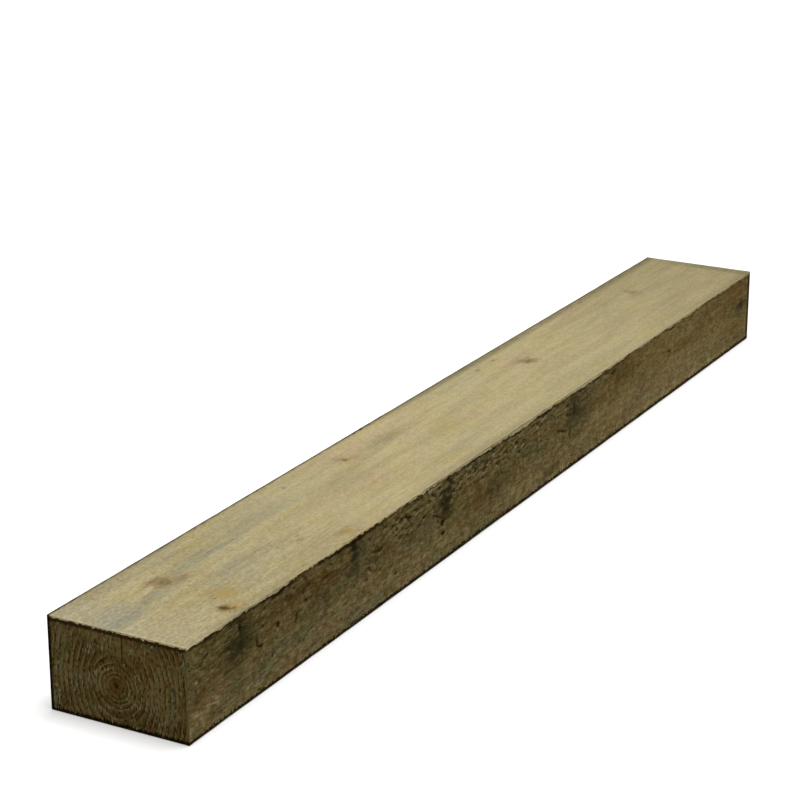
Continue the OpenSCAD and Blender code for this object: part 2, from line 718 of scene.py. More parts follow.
# %% [markdown]
# ## The skin of the timber
#
# The shape follows a rule, so Geometry Nodes make it: a box of small faces, its section rounded at the four
# arrises, then pressed in wherever the wood is hollow. A subdivided and sculpted cube would do as well, but
# a tree of nodes keeps every size as a named input. The box starts with evenly spaced rows. Rows are worth
# most at the arrises, so the first recipe moves three of them into the rounding of each.

# %% Rows where they are needed
def build_crowd():
    """Moves evenly spaced rows so that a given share of them falls within the edge."""
    takes = {"Value": 0.0, "Half": 1.0, "Edge": 0.1, "Share": 0.1}
    tree, took = start_group(SHAPE, "crowd", takes, {"Value": float})
    part = took["Value"].size() / took["Half"]
    inner_part = 1.0 - took["Share"]
    inner = ramp(part, 0.0, inner_part, 0.0, took["Half"] - took["Edge"], shape="LINEAR")
    outer = ramp(part, inner_part, 1.0, 0.0, took["Edge"], shape="LINEAR")
    return end_group(tree, {"Value": (inner + outer) * reckon("SIGN", took["Value"])})


crowd = {SHAPE: build_crowd()}

# %% [markdown]
# The second recipe rounds the square section. Each point past the middle of an arris's circle is moved from
# a square's distance to a circle's, and the rows inside the wood follow, so the mesh of the ends stays even.

# %% Rounded arrises
HARDLY_ANY = 0.000001


def build_round_section():
    """Wears the four long arrises of a square section round, inside and out, to one radius."""
    takes = {"Across": 0.0, "Up": 0.0, "Half Across": 1.0, "Half Up": 1.0, "Radius": 0.1}
    tree, took = start_group(SHAPE, "round_section", takes, {"Across": float, "Up": float})
    inner, beyond = [], []
    for axis in ("Across", "Up"):
        limit = took[f"Half {axis}"] - took["Radius"]
        nearest = lowest(highest(took[axis], limit * -1.0), limit)
        inner.append(nearest)
        beyond.append(took[axis] - nearest)
    straight = highest(beyond[0].size(), beyond[1].size())
    slanting = highest(vector(tree, beyond[0], beyond[1], 0.0).size(), HARDLY_ANY)
    across, up = (near + past * straight / slanting for near, past in zip(inner, beyond))
    return end_group(tree, {"Across": across, "Up": up})


round_section = {SHAPE: build_round_section()}

# %% [markdown]
# Next come the hollows. Close to an arris or to the rim of an end there is little room for them: one that is
# deeper than the rounding, or than the first row of faces, would fold the skin over itself. So the depth is
# limited there, and the limit rises quickly away from them.

# %% Room for a hollow
def fold_limit(where):
    """The greatest depth in millimetres that leaves the skin room at the arrises and the rims of the ends."""
    from_arris = highest(where["From Side"], where["From Flat"])
    arris_room = ramp(from_arris, 0.4, 2.4, 0.28, 2.8, shape="LINEAR")
    from_rim = lowest(where["From Side"], where["From Flat"])
    rim_room = ramp(from_rim, 0.4, 3.6, 0.04, 1.6, shape="LINEAR")
    off_the_end = ramp(where["From End"], 0.1, 0.5, 0.0, 3.0)
    return lowest(arris_room, highest(rim_room, off_the_end))


print("The fold limit is ready")

# %% [markdown]
# The hollows are pressed straight in from the sawn planes, never out, because the saw set the size and wear
# can only take wood away. They come from the same recipes as the colours: torn grain, pits, the groove
# round a knot, the slow unevenness of the cut, arrises that have been knocked, and soft early wood sunk
# between the hard rings on the ends.

# %% How deep each point lies
wave_depth = 0.2
groove_depth = 0.3
torn_depth = 0.6
pit_depth = 0.8
cut_mark_depth = 0.2
pith_depth = 0.6
early_wood_depth = 0.06


def build_hollows():
    """Depth of the surface under the sawn planes, in millimetres."""
    tree, took = start_group(SHAPE, "hollows", {"Place": NOWHERE}, {"Depth": float})
    place = took["Place"]
    offset = use_group(tree, log_offset, {"Place": place})["Offset"]
    knots = use_group(tree, branches, {"Offset": offset})
    wood = use_group(tree, rings, {"Offset": offset, "Spread": knots["Spread"]})
    spots_here = use_group(tree, marks, {"Place": place})
    where = use_group(tree, planes, {"Place": place})
    amount = use_group(tree, tearing, {"Place": place})["Amount"]
    torn = use_group(tree, torn_grain, {"Place": place, "Amount": amount})["Torn"]

    on_long_face = ramp(where["From End"], 0.3, 5.0)
    on_end = ramp(where["From End"], 0.3, 0.1)
    waves = ramp(noise(place, (120.0, 40.0, 40.0), seed=7), 0.45, 0.8) * wave_depth
    fibres = ramp(noise(place, (14.0, 1.6, 1.6), seed=8, detail=1.0), 0.45, 0.8) * (amount * 0.22 + 0.04)
    knot_groove = ramp((knots["Spread"] - 1.05).size(), 0.35, 0.0) * groove_depth
    long_face = waves + fibres + torn * (amount * torn_depth + 0.1)
    long_face = long_face + spots_here["Pit"] * pit_depth + knot_groove

    cut_marks = ramp(noise(place, (9.0, 2.6, 1.3), seed=9), 0.4, 0.8) * cut_mark_depth
    pith_hole = ramp(wood["Radius"], 2.0, 0.6) * pith_depth
    end_face = early_wood_depth - wood["Late"] * early_wood_depth + cut_marks + pith_hole

    from_arris = highest(where["From Side"], where["From Flat"])
    from_end_edge = highest(where["From End"], lowest(where["From Side"], where["From Flat"]))
    knocks = ramp(noise(place, (16.0, 9.0, 9.0), seed=10, detail=3.0), 0.46, 0.76)
    arris_wear = ramp(from_arris, 1.8, 0.3) * (knocks * 0.12 + amount * 0.05) * on_long_face
    edge_wear = ramp(from_end_edge, 0.9, 0.1) * knocks * 0.15
    depth = long_face * on_long_face + end_face * on_end + arris_wear + edge_wear
    return end_group(tree, {"Depth": lowest(depth, fold_limit(where))})


hollows = {SHAPE: build_hollows()}

# %% [markdown]
# A geometry tree is a row of steps, each of which takes the shape from the one before. `chain` adds such a
# step, and `read` adds a node that says something about each point.

# %% One step after another
def chain(tree, kind, geometry, feeds=(), **settings):
    """Adds one geometry step after another and returns its geometry output."""
    node = tree.nodes.new(kind)
    for title, value in settings.items():
        setattr(node, title, value)
    if geometry is not None:
        feed(node.inputs[0], geometry)
    for title, value in dict(feeds).items():
        feed(node.inputs[title], value)
    return Field(node.outputs[0])


def read(tree, kind):
    """Something that the tree can read at every point, such as its position or its normal."""
    return Field(tree.nodes.new(kind).outputs[0])


print("Steps can be chained")

# %% [markdown]
# The first steps make a smooth stick: a box, its rows moved towards the arrises and the ends, its section
# rounded, and its edges shaded crisp only where they are sharp.

# %% The smooth stick
ARRIS_ROWS = 3
CROWDED_ENDS = 0.3
CRISP_ANGLE = math.radians(60.0)


def smooth_stick(tree, took):
    """A box of small faces, its rows crowded towards its edges, its section rounded, its foot at nought."""
    halves = {title: took[title] * 0.5 for title in ("Length", "Width", "Thickness")}
    box = chain(tree, "GeometryNodeMeshCube", None, {
        "Size": vector(tree, took["Length"], took["Width"], took["Thickness"]),
        "Vertices X": took["Rows Along"],
        "Vertices Y": took["Rows Across"],
        "Vertices Z": took["Rows Up"],
    })
    along, across, up = read(tree, "GeometryNodeInputPosition").split()
    part = along / halves["Length"]
    crowded = part * (1.0 + CROWDED_ENDS) - part * part * part * CROWDED_ENDS
    rows = []
    for value, half, count in ((across, "Width", "Rows Across"), (up, "Thickness", "Rows Up")):
        share = reckon("DIVIDE", 2.0 * ARRIS_ROWS, took[count] - 1.0)
        values = {"Value": value, "Half": halves[half], "Edge": took["Arris Radius"], "Share": share}
        rows.append(use_group(tree, crowd, values)["Value"])
    section = use_group(tree, round_section, {
        "Across": rows[0],
        "Up": rows[1],
        "Half Across": halves["Width"],
        "Half Up": halves["Thickness"],
        "Radius": took["Arris Radius"],
    })
    height = section["Up"] + halves["Thickness"]
    shaped = vector(tree, crowded * halves["Length"], section["Across"], height)
    skin = chain(tree, "GeometryNodeSetPosition", box, {"Position": shaped})
    crisp = reckon("LESS_THAN", read(tree, "GeometryNodeInputMeshEdgeAngle"), CRISP_ANGLE)
    return chain(tree, "GeometryNodeSetShadeSmooth", skin, {"Shade Smooth": crisp}, domain="EDGE")


print("The smooth stick is ready")

# %% [markdown]
# The stick is then pressed in along its normals, as deep as the hollows say. The tree ends in Realize
# Instances, which leaves nothing but plain geometry, and Set Material: first the finish of the long faces,
# and then that of the ends, for the faces that look along the grain.

# %% The whole skin
END_FACING = 0.75


def build_skin(face_finish, end_finish):
    """The whole timber, from its sizes to a closed and finished mesh."""
    takes = {"Length": 1.0, "Width": 0.1, "Thickness": 0.05, "Arris Radius": 0.001}
    takes |= {"Rows Along": 10, "Rows Across": 10, "Rows Up": 10}
    tree, took = start_group(SHAPE, "timber_skin", takes, {})
    tree.interface.new_socket("Geometry", in_out="OUTPUT", socket_type="NodeSocketGeometry")
    skin = smooth_stick(tree, took)

    from_middle = read(tree, "GeometryNodeInputPosition")
    place = (from_middle + vector(tree, took["Length"] * 0.5, 0.0, 0.0)) * MM
    depth = use_group(tree, hollows, {"Place": place})["Depth"]
    inwards = read(tree, "GeometryNodeInputNormal") * depth * (-1.0 / MM)
    skin = chain(tree, "GeometryNodeSetPosition", skin, {"Offset": inwards})

    skin = chain(tree, "GeometryNodeRealizeInstances", skin)
    skin = chain(tree, "GeometryNodeSetMaterial", skin, {"Material": face_finish})
    facing, _, _ = read(tree, "GeometryNodeInputNormal").split()
    is_end = reckon("GREATER_THAN", facing.size(), END_FACING)
    skin = chain(tree, "GeometryNodeSetMaterial", skin, {"Material": end_finish, "Selection": is_end})
    return end_group(tree, {"Geometry": skin})


print("The skin's recipe is ready, and waits for its two finishes")

# %% [markdown]
# ## From nodes to a plain mesh
#
# A modifier shows the tree's result but keeps it live. Reading the evaluated object gives the same shape as
# a plain mesh, which needs no nodes any more. Inputs of the modifier are set by their identifiers, because
# that is how the modifier stores them.

# %% Growing a piece
def grow(name, tree, values):
    """Runs a Geometry Nodes tree on an empty object and returns the result as a plain mesh object."""
    nursery = bpy.data.objects.new(f"{name}_nodes", bpy.data.meshes.new(f"{name}_nodes"))
    bpy.context.collection.objects.link(nursery)
    modifier = nursery.modifiers.new("nodes", "NODES")
    modifier.node_group = tree
    items = tree.interface.items_tree
    identifiers = {item.name: item.identifier for item in items if item.in_out == "INPUT"}
    for title, value in values.items():
        modifier[identifiers[title]] = value
    evaluated = nursery.evaluated_get(bpy.context.evaluated_depsgraph_get())
    mesh = bpy.data.meshes.new_from_object(evaluated)
    mesh.name = name
    bpy.data.objects.remove(nursery)
    piece = bpy.data.objects.new(name, mesh)
    bpy.context.collection.objects.link(piece)
    triangles = sum(len(face.vertices) - 2 for face in mesh.polygons)
    print(f"{name}: {len(mesh.vertices)} points, {triangles} triangles")
    return piece


print("Ready to grow a piece")

# %% [markdown]
# ## Colours as on a screen, light by number
#
# A maker names a colour by how it looks on a screen, from 0 to 255, and Blender calculates with linear
# light. `paint` converts one to the other. `stain` darkens or tints what is under it, as a thin stain does
# on wood, and `cover` hides it. `grey` and `shade` turn a number around 1 into a tint for `stain`.

# %% Colour tools
def paint(*screen_values):
    """A colour from its screen values of 0 to 255, in the linear values that Blender calculates with."""
    parts = [value / 255 for value in screen_values]
    return (*(part / 12.92 if part <= 0.04045 else ((part + 0.055) / 1.055) ** 2.4 for part in parts), 1.0)


def blend(under, over, amount, how):
    """Lays one colour over another with a Mix node."""
    tree = next(value.tree for value in (amount, under, over) if isinstance(value, Field))
    node = tree.nodes.new("ShaderNodeMix")
    node.data_type = "RGBA"
    node.blend_type = how
    for place, value in ((0, amount), (6, under), (7, over)):
        feed(node.inputs[place], value)
    return Field(node.outputs[2])


def cover(under, over, amount):
    """Hides the colour under it as far as the amount says."""
    return blend(under, over, amount, "MIX")


def stain(under, tint, amount=1.0):
    """Multiplies the colour under it by a tint as far as the amount says."""
    return blend(under, tint, amount, "MULTIPLY")


def tint_of(red, green, blue):
    """A colour from three numbers or fields."""
    node = red.tree.nodes.new("ShaderNodeCombineColor")
    for socket, part in zip(node.inputs, (red, green, blue)):
        feed(socket, part)
    return Field(node.outputs[0])


def grey(value):
    """Equally bright in red, green and blue: it brightens or darkens and leaves the hue."""
    return tint_of(value, value, value)


def shade(value):
    """Like grey, but blue moves most: pale dry fibres look greyer, and dark wet ones look browner."""
    return tint_of(value, reckon("POWER", value, 1.12), reckon("POWER", value, 1.7))


print("Clean sawn wood:", [round(part, 3) for part in paint(175, 161, 122)])

# %% [markdown]
# ## Two finishes
#
# The four sawn faces and the two cut ends are the same wood, but a face shows rings as long streaks and an
# end shows them as rings, and an end soaks up far more preservative and is painted darker still as painted
# shade. So there are two materials, which share the recipes above and two more: the hair-fine grain and the
# marks of the saw.

# %% Grain and saw marks
SAW_SLANT = 0.05
SAW_RUN = 40.0


def build_fine_grain():
    """Hair-fine streaks along the grain and short specks, both around 0.5."""
    gives = {"Streaks": float, "Specks": float}
    tree, took = start_group(COLOUR, "fine_grain", {"Place": NOWHERE}, gives)
    streaks = noise(took["Place"], (42.0, 1.1, 1.1), seed=11, detail=3.0, roughness=0.6)
    specks = noise(took["Place"], (3.6, 1.1, 1.1), seed=12, detail=3.0, roughness=0.65)
    return end_group(tree, {"Streaks": streaks, "Specks": specks})


def build_saw_marks():
    """Lines that the teeth left. Travel is measured across the lines and Drift along them, in millimetres."""
    takes = {"Travel": 0.0, "Drift": 0.0, "Pitch": 2.4}
    tree, took = start_group(COLOUR, "saw_marks", takes, {"Lines": float})
    slanted = took["Travel"] / took["Pitch"] + took["Drift"] * SAW_SLANT
    lines = noise(vector(tree, slanted, took["Drift"] / SAW_RUN, 0.0), 1.0, seed=13, detail=1.0)
    return end_group(tree, {"Lines": lines})


fine_grain = {COLOUR: build_fine_grain()}
saw_marks = {COLOUR: build_saw_marks()}

# %% [markdown]
# Both materials start alike, with the place in millimetres and what the shared recipes say about it. They
# gather these facts under their names, and each step below adds to them. Both end alike too: raw wood hardly
# shines, and its relief is too fine for the mesh, so a Bump node gives it.

# %% Start and end of a finish
raw_wood_shine = 0.02


def start_finish(name, branched=True):
    """A new material, and the facts about the wood at every point of it."""
    material = bpy.data.materials.new(name)
    material.use_nodes = True
    tree = material.node_tree
    coordinates = Field(tree.nodes.new("ShaderNodeTexCoord").outputs["Object"])
    place = (coordinates - (low.x, 0.0, low.z)) * MM
    wood = {"Place": place}
    wood |= use_group(tree, log_offset, {"Place": place})
    offset = {"Offset": wood["Offset"]}
    wood |= use_group(tree, branches, offset) if branched else {"Spread": NO_BRANCH}
    wood |= use_group(tree, rings, offset | {"Spread": wood["Spread"]})
    for groups in (marks, planes, tearing, fine_grain):
        wood |= use_group(tree, groups, {"Place": place})
    wood["Along"], wood["Across"], wood["Up"] = place.split()
    return material, wood


def complete_finish(material, colour, roughness, height):
    """Feeds the Principled BSDF. The height is in millimetres."""
    principled = material.node_tree.nodes["Principled BSDF"]
    feed(principled.inputs["Base Color"], colour)
    feed(principled.inputs["Roughness"], roughness)
    principled.inputs["Specular IOR Level"].default_value = raw_wood_shine
    bump = material.node_tree.nodes.new("ShaderNodeBump")
    bump.inputs["Distance"].default_value = 1.0 / MM
    feed(bump.inputs["Height"], height)
    feed(principled.inputs["Normal"], Field(bump.outputs["Normal"]))
    print("Material", material.name, "has", len(material.node_tree.nodes), "nodes")


print("A finish can be started and completed")

# %% [markdown]
# ### The sawn faces
#
# The clean top is pale tan, and the other faces are olive brown, darker partly for the preservative and
# partly as painted shade for faces that turn away from the lamp. The border between the two tones runs along
# the arris. It is frayed, and along the front it lies a few millimetres down the side, where the top's colour
# is painted lighter still as a painted highlight along the arris. Fibres are torn out on the rough faces,
# except where a stain has bound them, and the lip just below each torn one is painted pale as a painted
# highlight.

# %% Where the two tones meet
border_fray = 3.4


def part_the_tones(wood):
    """Adds torn fibres, a painted highlight on the lip below each, slow patterns, and how far a point is on
    the pale top, from 0 to 1.
    """
    place, tree = wood["Place"], wood["Place"].tree
    sound = 1.0 - highest(wood["Blue"], wood["Brown"]) * 0.8
    torn = use_group(tree, torn_grain, {"Place": place, "Amount": wood["Amount"]})
    wood["Torn"] = torn["Torn"] * sound
    # The lip just below each torn fibre is painted pale, a painted highlight where it would catch the lamp
    # overhead.
    beside = {"Place": place + (1.0, 0.0, 1.8), "Amount": wood["Amount"] + 0.2}
    wood["Lifted"] = use_group(tree, torn_grain, beside)["Torn"] * sound

    wood["Fray"] = noise(place, (4.0, 1.4, 1.4), seed=14, detail=4.0)
    wander = noise(place, (30.0, 90.0, 90.0), seed=21)
    # How far the top's colour runs down the front, most near the middle; that band is painted lighter as a
    # painted highlight along the front arris.
    arris_band_width = ramp((wood["Along"] - timber_long * 0.55).size(), 160.0, 30.0, 1.9, 2.8)
    border = lowest(wood["From Front"] + arris_band_width, wood["From Back"]) - wood["From Top"]
    wood["Border"] = border + (wood["Fray"] - 0.5) * border_fray + (wander - 0.5) * border_fray
    wood["On Top"] = ramp(wood["Border"], 0.5, 0.8)
    wood["Rough"] = 1.0 - wood["On Top"]

    wood["Clouds"] = noise(place, (30.0, 14.0, 14.0), seed=15, detail=2.0)
    wood["Blushes"] = noise(place, (18.0, 9.0, 9.0), seed=16, detail=2.0)
    wood["Mottle"] = noise(place, (7.0, 3.5, 3.5), seed=22, detail=4.0, roughness=0.6)


print("The two tones meet along the upper arrises")

# %% [markdown]
# The top has broad greenish and pinkish clouds, yellow blushes and slow bands along the grain. It has aged
# towards its far end and its sides. Fine pepper marks show near the near end. Its near rim is the cleanest
# part, and its back and far edges are grimy.

# %% The pale top
def clean_top(wood):
    """The colour of the wide upper face, before any dirt."""
    place, along = wood["Place"], wood["Along"]
    broad = noise(place, (70.0, 26.0, 26.0), seed=15, detail=1.0)
    bands = noise(place, (80.0, 8.0, 8.0), seed=27, detail=3.0)
    greenish = ramp(along, 200.0, 60.0, 0.25, 0.8)
    colour = cover(paint(180, 167, 126), paint(160, 144, 102), wood["Late"] * 0.15)
    colour = cover(colour, paint(166, 157, 128), ramp(broad, 0.45, 0.7) * greenish)
    colour = cover(colour, paint(181, 160, 126), ramp(broad, 0.5, 0.3) * 0.5)
    colour = cover(colour, paint(180, 165, 108), ramp(wood["Blushes"], 0.45, 0.75) * 0.45)
    ageing = ramp(along, 0.0, timber_long * 0.4, 0.95, 1.02)
    ageing = ageing * ramp(along, timber_long * 0.6, timber_long, 1.0, 0.8)
    ageing = ageing * ramp(wood["From Side"], 7.0, 0.0, 1.0, 0.88)
    slow = ramp(wood["Mottle"], 0.3, 0.7, 0.96, 1.04) * ramp(bands, 0.3, 0.7, 0.91, 1.08)
    colour = stain(colour, grey(ageing * slow))
    colour = cover(colour, paint(178, 168, 138), ramp(along, 34.0, 6.0) * 0.5)
    pepper = noise(place, (3.4, 1.0, 1.0), seed=28, detail=1.0)
    return stain(colour, paint(196, 184, 160), ramp(pepper, 0.68, 0.76) * ramp(along, 200.0, 120.0))


def edges_of_the_top(wood, colour):
    """The clean near rim, the grime at the back and the far end, and a painted highlight where the top's
    colour runs down the front.
    """
    along, fray, mottle = wood["Along"], wood["Fray"], wood["Mottle"]
    colour = cover(colour, paint(206, 192, 148), ramp(along, 1.8, 0.4) * 0.5)
    grime_width = ramp(along, timber_long * 0.3, timber_long * 0.7, 2.0, 7.0)
    back_grime = ramp((wood["From Back"] + (fray - 0.5) * 3.0) / grime_width, 1.2, 0.4)
    far_grime = ramp(along + (fray - 0.5) * 8.0, timber_long - 12.0, timber_long - 5.0)
    far_grime = far_grime * ramp(wood["Across"], 30.0, -10.0, 0.3, 0.9)
    grime = highest(back_grime, far_grime) * ramp(mottle, 0.35, 0.6, 0.35, 0.75)
    colour = cover(colour, paint(112, 106, 78), grime)
    back_rim = ramp(wood["From Back"] + (mottle - 0.5) * 4.0, 2.4, 0.4)
    colour = stain(colour, paint(194, 188, 172), back_rim)
    # Painted highlight: where the top's colour runs down the front face, it is painted up to 1.8 times
    # lighter, so that it looks as lit as the top.
    painted_arris_highlight = ramp(wood["From Top"] - wood["From Front"], -0.5, 0.1, 1.0, 1.8)
    return stain(colour, grey(painted_arris_highlight))


print("The pale top is ready")

# %% [markdown]
# The rough faces have dried towards the far end, where they are paler and more even. Their lower part is
# painted lighter, as painted light bounced up from the floor. `Dried` says how dry a point is, and the later
# steps use it to soften their marks.

# %% The olive brown faces
def olive_faces(wood):
    """The colour of the rough faces, before any marks."""
    along, up = wood["Along"], wood["Up"]
    dried = ramp(along, timber_long * 0.4, timber_long * 0.85)
    # Painted shade in part: these faces are painted darker than the top, partly for the preservative and
    # partly because they turn away from the lamp overhead.
    colour = cover(paint(130, 113, 64), paint(157, 135, 81), dried)
    colour = cover(colour, paint(104, 84, 46), wood["Late"] * 0.25)
    colour = cover(colour, paint(112, 105, 66), ramp(wood["Clouds"], 0.45, 0.65) * (0.7 - dried * 0.4))
    colour = cover(colour, paint(136, 106, 68), ramp(wood["Blushes"], 0.5, 0.68) * 0.5)
    # Painted light: below about 32 mm these faces are painted up to a third lighter, and the lowest few
    # millimetres a tenth more, standing in for light bounced up from the floor; less near the far end.
    floor_bounce_share = ramp(along, timber_long * 0.88, timber_long * 0.97, 0.36, 0.12)
    painted_floor_bounce = (ramp(up, 32.0, 13.0) * floor_bounce_share + 1.0) * ramp(up, 2.0, 8.0, 1.1, 1.0)
    colour = stain(colour, shade(painted_floor_bounce))
    wood["Dried"] = dried
    return stain(colour, shade(ramp(wood["Mottle"], 0.3, 0.7, 0.7, 1.3)), 1.0 - dried * 0.35)


print("The olive brown faces are ready")

# %% [markdown]
# Over both tones lie the saw lines, the streaks and specks of the grain, and single bright and dark grains.
# They are strong on the rough faces and faint on the top.

# %% Saw lines and grain
def saw_and_grain(wood, colour):
    """Lays the saw lines and the fine grain over a colour."""
    rough, dried = wood["Rough"], wood["Dried"]
    travel = {"Travel": wood["Along"], "Drift": wood["Across"] + wood["Up"]}
    wood["Lines"] = use_group(rough.tree, saw_marks, travel)["Lines"]
    lines = shade(ramp(wood["Lines"], 0.3, 0.7, 0.84, 1.16))
    colour = stain(colour, lines, rough * (0.5 - dried * 0.3))
    near_top = ramp(wood["Along"], 160.0, 40.0) * wood["On Top"]
    streaks = shade(ramp(wood["Streaks"], 0.25, 0.75, 0.84, 1.12))
    colour = stain(colour, streaks, rough * 0.2 + near_top * 0.2 + 0.3)
    speckled = rough * (0.5 - dried * 0.1) * (1.0 - wood["Brown"] * 0.5) + near_top * 0.06 + 0.1
    colour = stain(colour, shade(ramp(wood["Specks"], 0.34, 0.68, 0.5, 1.5)), speckled)
    wood["Grains"] = noise(wood["Place"], (1.7, 1.4, 1.4), seed=26, detail=1.0)
    grains = grey(ramp(wood["Grains"], 0.25, 0.75, 0.88, 1.12))
    return stain(colour, grains, near_top * 0.3 + 0.7)


print("Saw lines and grain are ready")

# %% [markdown]
# Then come the marks. Round a knot the wood is a little darker, the knot itself is brown, and its heart is
# darker still. Blue and brown stains tint what is under them, and more deeply on the rough faces. Resin is
# a thick amber film on the top.

# %% Knots and stains
def knots_and_stains(wood, colour):
    """Lays the resin, the knots and the stains over a colour."""
    rough = wood["Rough"]
    colour = cover(colour, paint(170, 144, 84), wood["Resin"] * wood["On Top"] * 0.85)
    halo = ramp(wood["Spread"], 2.4, 1.0)
    heart = ramp(wood["Spread"], 1.0, 0.2)
    colour = stain(colour, paint(238, 234, 226), halo)
    colour = cover(colour, paint(104, 83, 60), wood["Tone"] * 0.8)
    colour = stain(colour, paint(196, 180, 150), heart * wood["Tone"])
    colour = stain(colour, paint(222, 232, 248), wood["Blue"])
    colour = stain(colour, paint(138, 138, 116), wood["Blue"] * rough)
    colour = stain(colour, paint(210, 201, 198), wood["Brown"])
    colour = stain(colour, paint(250, 228, 202), wood["Brown"] * rough)
    return stain(colour, paint(240, 226, 194), wood["Resin"] * rough)


print("Knots and stains are ready")

# %% [markdown]
# Chaff is the pale dust of short fibres, and most of it sticks near the floor and the near end. A scuff rubs
# more of it up. The lip below a torn fibre is painted pale as a painted highlight. A torn one leaves a dark
# hollow and a pit is the darkest, partly from pooled dirt and preservative and partly from painted shade.

# %% Loose and torn fibres
def loose_fibres(wood, colour):
    """Lays chaff, scuffs, a painted highlight below torn fibres, and torn fibres and pits that are partly
    darkened with painted shade, over a colour.
    """
    rough, scuff = wood["Rough"], wood["Scuff"]
    chaff = noise(wood["Place"], (2.6, 1.6, 1.6), seed=25, detail=2.0)
    clear_of_chaff = ramp(lowest(wood["Up"] * 0.7, wood["Along"]), 0.0, 20.0, 0.59, 0.67) - scuff * 0.1
    colour = cover(colour, paint(168, 156, 118), ramp(chaff - clear_of_chaff, 0.0, 0.06) * rough * 0.6)
    colour = stain(colour, grey(scuff * 0.25 + 1.0))
    colour = cover(colour, paint(184, 170, 130), ramp(scuff, 0.5, 0.8) * rough * 0.8)
    # Painted highlight on the lip below each torn fibre.
    colour = cover(colour, paint(162, 150, 110), wood["Lifted"] * rough * (wood["Amount"] * 0.4 + 0.3))
    # Partly painted shade: torn hollows and pits are painted dark, partly for pooled dirt and preservative
    # and partly for the shade inside them.
    colour = cover(colour, paint(54, 42, 16), wood["Torn"] * rough * 0.78)
    return cover(colour, paint(50, 38, 16), wood["Pit"] * 0.95)


print("Loose and torn fibres are ready")

# %% [markdown]
# Dirt gathers last, along the edges: a thin film at every arris, a dark fringe with notches right under the
# pale border, and a line at the far end. Along the foot, where the timber lies on the ground, a dark line is
# painted contact shadow.

# %% Dirty edges and a painted contact shadow
def edge_dirt_and_contact_shadow(wood, colour):
    """Lays the dirt of the edges of the rough faces, and a painted contact shadow along the foot, over a
    colour.
    """
    rough, dried, border, fray = (wood[title] for title in ("Rough", "Dried", "Border", "Fray"))
    along = wood["Along"]
    from_arris = highest(wood["From Side"], wood["From Flat"])
    film = ramp(from_arris + (fray - 0.5) * 4.0, 2.0, 0.6) * rough
    colour = stain(colour, paint(200, 188, 160), film)
    fringe = ramp(border + (wood["Blushes"] - 0.5) * 5.0, -1.8, -0.2)
    fringe = fringe * ramp(dried, 0.0, 1.0, 1.0, 0.35) * rough
    colour = stain(colour, paint(118, 98, 56), fringe * ramp(wood["Clouds"], 0.36, 0.56, 0.1, 1.0))
    notches = ramp(border, -1.0, -0.1) * ramp(wood["Mottle"], 0.46, 0.6) * rough
    colour = cover(colour, paint(56, 42, 18), notches * ramp(dried, 0.0, 1.0, 0.9, 0.4))
    far_edge = ramp(along, timber_long - 5.0, timber_long - 3.6)
    colour = stain(colour, paint(186, 180, 168), far_edge * rough)
    far_line = ramp(along + (fray - 0.5) * 1.0, timber_long - 3.4, timber_long - 1.8)
    colour = stain(colour, paint(104, 88, 68), far_line * rough)
    # Painted shadow: a dark line along the foot, where the timber lies on the floor.
    contact_shadow_height = ramp(along, 0.0, timber_long, 1.9, 2.6, shape="LINEAR")
    painted_contact_shadow = ramp(wood["Up"] + (wood["Grains"] - 0.5) * 5.0 - contact_shadow_height, 0.3, -0.3)
    return stain(colour, paint(104, 100, 88), painted_contact_shadow)


print("Dirty edges are ready")

# %% [markdown]
# The material runs the steps in the order in which they happened to the wood.

# %% Sawn face
def make_sawn_face():
    """The finish of the four long faces."""
    material, wood = start_finish("sawn_face")
    part_the_tones(wood)
    top_colour = edges_of_the_top(wood, clean_top(wood))
    colour = cover(olive_faces(wood), top_colour, wood["On Top"])
    for layer in (saw_and_grain, knots_and_stains, loose_fibres, edge_dirt_and_contact_shadow):
        colour = layer(wood, colour)
    rough = wood["Rough"]
    fibres = (wood["Streaks"] - 0.5) * 0.2 + (wood["Specks"] - 0.5) * (rough * 0.55 + 0.05)
    height = wood["Lines"] * (rough * 0.13 + 0.01) + fibres - wood["Torn"] * rough * 0.5
    roughness = ramp(wood["Specks"], 0.3, 0.7, 0.72, 0.92)
    complete_finish(material, colour, roughness, height)
    return material


sawn_face = make_sawn_face()

# %% [markdown]
# ### The cut ends
#
# The ends are the darkest part, because the open pores drink the preservative, in some places more than in
# others, and because they are painted darker as painted shade, as they turn away from the lamp. Pale olive
# early wood and dark brown late wood alternate, least clearly above the pith, and the pith is a dark dot. An
# end is flat, so its patterns need not change along the grain.

# %% Rings on the end
UNCHANGED = 200.0


